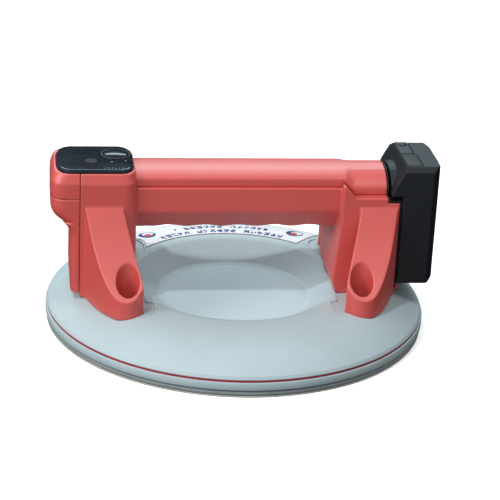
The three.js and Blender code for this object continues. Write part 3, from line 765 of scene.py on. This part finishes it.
def lens_outline(grow):
    """Long straight front and back, and ends that are rounded almost across."""
    x0, x1, y1 = LENS_X0 - grow, LENS_X1 + grow, LENS_Y + grow
    ring = []
    for x, sx, sy in ((x0, -1, -1), (x1, 1, -1), (x1, 1, 1), (x0, -1, 1)):
        side, edge = Vector((x, sy * (y1 - LENS_END_Y))), Vector((x - sx * LENS_END_X, sy * y1))
        start, end = (side, edge) if sx * sy > 0 else (edge, side)
        corner = Vector((x, sy * y1))
        for k in range(25):
            t = k / 24
            ring.append(tuple((1 - t) ** 2 * start + 2 * t * (1 - t) * corner + t * t * end))
    return ring


def handle_frame():
    frame_piece = right_tower()
    pockets = []
    join(frame_piece, grip_shell())
    for side_x in (-1, 1):
        for side_y in (-1, 1):
            body, *holes = leg(side_x, side_y)
            join(frame_piece, body)
            pockets += holes
    keep(frame_piece, across("parting", parting_line(0), -80, 80))
    join(frame_piece, left_tower())
    lip_right = block("lip_right", 92, 98.4, -17, 17, 22.6, 26.9)
    lip_left = block("lip_left", -98.9, -94, -14, 14, 22.6, 24.1)
    join(frame_piece, lip_right, lip_left)
    _, valve_y, _, valve_x, _, valve_top = span("release_valve_body")
    valve = rod_along("valve_seat", -valve_y + 0.3, SEAM_X - 1, valve_x + 0.4, 0, valve_top + valve_y)
    cut(frame_piece, *pockets, valve, plan("lens_seat", lens_outline(0.35), LENS_Z0 - 1, 120))
    frame_piece.name = "handle_moulding"
    mould(frame_piece, 0.5, 2, 0.35)
    return finish_piece(frame_piece, MATERIALS["housing_red"], "cup", "housing_red", "handle_frame", angle=60)


def grip_cover():
    """The light top shell. Over the right tower its shoulders drop and its sides follow the parting line."""
    narrow = [(17.4, 86), (17.4, 93.2), (17.2, 94.1), (16.6, 94.9), (15.0, 95.7), (13.0, 96.4), (10.5, 97.1),
              (8.0, 97.6), (4.0, 98.05), (0, GRIP_TOP_Z)]
    wide = [(18.8, 82), *SADDLE, (0, GRIP_TOP_Z)]
    loops = []
    for x in [LEFT_IN_X - 1.5, *np.arange(-62, 86.01, 0.8), COVER_END_X]:
        share = min(1.0, max(0.0, (x - 61.8) / 4.6))
        ring = [(x, a[0] + (b[0] - a[0]) * share, a[1] + (b[1] - a[1]) * share) for a, b in zip(narrow, wide)]
        mirrored = [(px, -py, pz) for px, py, pz in ring]
        loops.append(mirrored + list(reversed(ring[:-1])))
    cover = cut(loft("grip_top", loops), across("parting", parting_line(0.08), -80, 80))
    mould(cover, 0.5, 2, 0.5)
    return finish_piece(cover, MATERIALS["housing_red"], "cup", "housing_red", "grip_cover", angle=60)


NOSE = [(-100.6, 25.2), (-101, 31), (-101, 58), (-101.6, 63), (-104, 67.6), (-110, 72.4), (-112.5, 77),
        (-112.6, 82), (-112.6, 91), (-111.9, 95.5), (-110.4, HEAD_Z)]
NOSE_SPLIT = 84.0


def nose_piece(name, z0, z1):
    """A slice of the nose: rounded in plan, following its side outline."""
    curve = smooth_line([(z, x) for x, z in NOSE], 8)
    zs, xs = [p[0] for p in curve], [p[1] for p in curve]
    loops = []
    for z in np.linspace(z0, z1, max(8, int(z1 - z0))):
        left = float(np.interp(z, zs, xs))
        inset = max(0.0, (z - 93.5) / 5.5) * 2.3
        y = TOWER_Y - inset
        turn = 9.5 if left < -105 else 5
        outline = soften(rectangle(left, SEAM_OUT_X + 0.15, -y, y), [turn, 0, 0, turn], 10)
        loops.append([(px, py, z) for px, py in outline])
    return loft(name, loops)


def nose():
    release = span("release_button")
    centre_z = (release[2] + release[5]) / 2
    cap = nose_piece("nose_cap", NOSE_SPLIT + 0.1, HEAD_Z)
    hole = rod_along("hole", RELEASE_HOLE_R, -120, -104, 0, centre_z)
    cut(cap, hole, plan("lens_seat", lens_outline(0.35), LENS_Z0 - 1, 120))
    mould(cap, 0.45, 2, 0.5)
    finish_piece(cap, MATERIALS["housing_red"], "cup", "housing_red", "head_cap", angle=60)
    cover = nose_piece("nose_cover", 25.2, NOSE_SPLIT - 0.1)
    cut(cover, rod_along("hole", RELEASE_HOLE_R, -120, -104, 0, centre_z))
    mould(cover, 0.5, 2, 0.5)
    finish_piece(cover, MATERIALS["housing_red"], "cup", "housing_red", "end_cover", angle=60)


# ---------------------------------------------------------------- display and buttons


def display_lens():
    top, low = LENS_TOP - SHRINK, LENS_Z0
    steps = [(0.5, low), (0.1, low + 0.25), (0.0, low + 0.7), (0.0, top - 1.5)]
    turns = np.linspace(0.2, math.pi / 2, 7)
    steps += [(1.5 * (1 - math.cos(a)), top - 1.5 + 1.5 * math.sin(a)) for a in turns]
    lens = loft("lens", [[(x, y, z) for x, y in lens_outline(-inset)] for inset, z in steps])
    cut(lens, rod("button_hole", BUTTON_R + 1.9, 80, 120, (BUTTON_X, BUTTON_Y), 96))
    return finish_piece(lens, MATERIALS["display_glass"], "cup", "display_gloss", "display_lens", angle=40)


def power_button():
    low, top = BUTTON[2], BUTTON[5] - SHRINK
    shoulder = top - 2
    dome = [(3, shoulder - 3), (BUTTON_R - 0.2, shoulder - 3), (BUTTON_R, shoulder - 2.8), (BUTTON_R, shoulder)]
    dome += [(BUTTON_R * math.cos(a), shoulder + 2 * math.sin(a)) for a in np.linspace(0.12, 1.35, 14)]
    dome += [(1.2, top - 0.02), (0, top)]
    button = lathe("power_dome", [(0, low), (3, low), *dome], 96, (BUTTON_X, BUTTON_Y))
    return finish_piece(button, MATERIALS["display_gloss"], "power", "display_gloss", "power_button")


# ---------------------------------------------------------------- battery


def battery_case():
    half, low, top = PACK_Y, PACK_LOW, PACK_TOP
    lip, lip_x, face = 86.0, PACK_X0, 94.9
    side = [(face, low), (PACK_X1 - 3, low), (PACK_X1, low + 3), (PACK_X1, top), (96.4, top), (90.6, 93),
            (lip_x, lip), (face, lip)]
    case = across("battery_shell", side, -half, half)
    section = [(-half, 20), (half, 20), (half, top - 2.6), (half - 4.0, top), (-half + 4.0, top),
               (-half, top - 2.6)]
    outline = [(80, -half), (PACK_X1 - 4.5, -half), (PACK_X1 - 0.4, -half + 5), (PACK_X1, -12),
               (PACK_X1, half - 12), (PACK_X1 - 1.5, half - 5), (PACK_X1 - 6, half), (80, half)]
    keep(case, along("section", section, 80, 130), plan("outline", outline, 0, 120))
    crown = [(18.8, lip), *SADDLE, (0, BOSS_TOP)]
    join(case, along("boss", crown + [(-y, z) for y, z in reversed(crown[:-1])], lip_x + 0.8, face + 1))
    for node, travel in (("battery_latch", 1.5), ("gauge_panel", 0)):
        x0, y0, z0, x1, y1, _ = span(node)
        cut(case, block("seat", x0 - 0.3, x1 + 0.3, y0 - 0.3, y1 + 0.3, z0 - travel - 0.35, 120))
    for sign in (-1, 1):
        y = sorted((sign * 20.4, sign * 22.4))
        cut(case, block("groove", 90, 98.6, *y, 0, 79))
        y = sorted((sign * 22.1, sign * 24.0))
        cut(case, block("groove", 96.8, 98.6, *y, 0, 79))
    mould(case, 0.42, 1, 0.4)
    finish_piece(case, MATERIALS["black_plastic"], "battery", "black_plastic", "battery_case", angle=60)


def battery_top():
    x0, y0, z0, x1, y1, z1 = span("battery_latch")
    latch = block("latch_key", x0, x1, y0, y1, z0, z1)
    bevelled(latch, 0.5)
    finish_piece(latch, MATERIALS["black_plastic"], "latch", "black_plastic", "battery_latch")
    x0, y0, z0, x1, y1, z1 = span("gauge_panel")
    panel = block("gauge_plate", x0, x1, y0, y1, z0, z1)
    bevelled(panel, 0.4)
    _, by0, _, _, by1, _ = span("gauge_button")
    cut(panel, rod("hole", 2.8, z0 + 0.5, z1 + 1, ((x0 + x1) / 2, (by0 + by1) / 2)))
    finish_piece(panel, MATERIALS["black_plastic"], "battery", "black_plastic", "gauge_panel")


# ---------------------------------------------------------------- carried-over CAD nodes


def dress_cad_nodes():
    """The working parts inside keep their CAD shape, with small edge radii and the materials of their slots."""
    slots = {row["node"]: row["material_slot"] for row in frame["record"]["subparts"]}
    for name, node in frame["nodes"].items():
        if node.hide_render:
            continue
        node.data.materials.clear()
        node.data.materials.append(MATERIALS[slots[name]])
        edge = node.modifiers.new("edges", "BEVEL")
        edge.width = 0.12 * MM
        edge.segments = 2
        edge.limit_method = "ANGLE"
        edge.angle_limit = math.radians(50)
        for polygon in node.data.polygons:
            polygon.use_smooth = True
        node.data.set_sharp_from_angle(angle=math.radians(32))


base_cover()
base_plate()
base_rings()
info_label()
handle_frame()
grip_cover()
nose()
display_lens()
power_button()
battery_case()
battery_top()
dress_cad_nodes()

# ---------------------------------------------------------------- camera, light and floor

CAMERA_TARGET = Vector((0, 0, 0.046))
CAMERA_AZIMUTH = math.radians(-7.47)
CAMERA_ELEVATION = math.radians(22.14)
CAMERA_ROLL = math.radians(2.68)
CAMERA_DISTANCE = 1.0904
CAMERA_LENS = 129.6
FLOOR_Z = -0.03  # millimetres


def camera():
    data = bpy.data.cameras.new("camera")
    data.lens = CAMERA_LENS
    data.sensor_width = 36
    data.shift_x = 0.0272
    data.shift_y = -0.0126
    made = bpy.data.objects.new("camera", data)
    bpy.context.scene.collection.objects.link(made)
    az, el = CAMERA_AZIMUTH, CAMERA_ELEVATION
    back = Vector((math.sin(az) * math.cos(el), -math.cos(az) * math.cos(el), math.sin(el)))
    right = Vector((math.cos(az), math.sin(az), 0))
    up = back.cross(right)
    c, s = math.cos(CAMERA_ROLL), math.sin(CAMERA_ROLL)
    turn = Matrix((c * right + s * up, c * up - s * right, back)).transposed()
    made.matrix_world = Matrix.Translation(CAMERA_TARGET + CAMERA_DISTANCE * back) @ turn.to_4x4()
    bpy.context.scene.camera = made


def area_light(name, towards, distance, size, power, colour=(1, 1, 1)):
    """A rectangular lamp in a given direction from the object, turned to face it."""
    data = bpy.data.lights.new(name, "AREA")
    data.shape = "RECTANGLE"
    data.size, data.size_y = size
    data.energy = power
    data.color = colour
    made = bpy.data.objects.new(name, data)
    bpy.context.scene.collection.objects.link(made)
    direction = Vector(towards).normalized()
    made.location = Vector((0, 0, 0.05)) + direction * distance
    made.rotation_euler = direction.to_track_quat("Z", "Y").to_euler()


SKY_AXIS = (-0.27, -0.42, 0.85)
SKY = [(-1.0, 0.01), (-0.15, 0.06), (0.1, 0.42), (0.4, 0.66), (0.7, 0.62), (1.0, 0.56)]
SKY_STRENGTH = 1.0


def sky(world):
    """A soft box overhead and in front: dimmer towards the back and below the horizon."""
    world.use_nodes = True
    tree = world.node_tree
    background = tree.nodes["Background"]
    place = tree.nodes.new("ShaderNodeTexCoord")
    rise = tree.nodes.new("ShaderNodeVectorMath")
    rise.operation = "DOT_PRODUCT"
    rise.inputs[1].default_value = Vector(SKY_AXIS).normalized()
    ramp = tree.nodes.new("ShaderNodeValToRGB")
    height = tree.nodes.new("ShaderNodeMapRange")
    height.inputs["From Min"].default_value = -1
    tree.links.new(place.outputs["Generated"], rise.inputs[0])
    tree.links.new(rise.outputs["Value"], height.inputs["Value"])
    tree.links.new(height.outputs["Result"], ramp.inputs["Fac"])
    elements = ramp.color_ramp.elements
    while len(elements) < len(SKY):
        elements.new(0.5)
    for element, (rise, level) in zip(elements, SKY):
        element.position = (rise + 1) / 2
        element.color = (level * 0.97, level * 0.99, level, 1)
    tree.links.new(ramp.outputs["Color"], background.inputs["Color"])
    background.inputs["Strength"].default_value = SKY_STRENGTH


def studio():
    size = 12 / MM
    corners = [(x, y, FLOOR_Z) for x, y in rectangle(-size, size, -size, size)]
    floor = new_object("floor", corners, [(0, 1, 2, 3)])
    n = Nodes("floor_paper")
    n.colour(n.ramp(n.noise(3, 2), [(0.3, (0.93, 0.93, 0.93)), (0.7, (0.95, 0.95, 0.95))]))
    n.set(Roughness=0.9, Specular_IOR_Level=0.1, Emission_Color=(1, 1, 1, 1), Emission_Strength=0.4)
    floor.data.materials.append(n.material)
    floor.visible_diffuse = False
    floor.visible_glossy = False
    bpy.context.scene.world = bpy.data.worlds.new("studio")
    sky(bpy.context.scene.world)
    area_light("key", (-0.37, -0.38, 1), 3.0, (0.09, 0.09), 29)
    area_light("fill", (0.35, -0.42, 1), 3.0, (0.1, 0.1), 10.5)
    area_light("left_panel", (-1.0, -0.45, 0.6), 2.4, (1.0, 0.8), 28)
    area_light("back_panel", (0.05, 0.85, 0.68), 2.6, (2.2, 0.6), 34, (0.72, 0.92, 1.0))
    bpy.context.scene.view_settings.view_transform = "Standard"


camera()
studio()
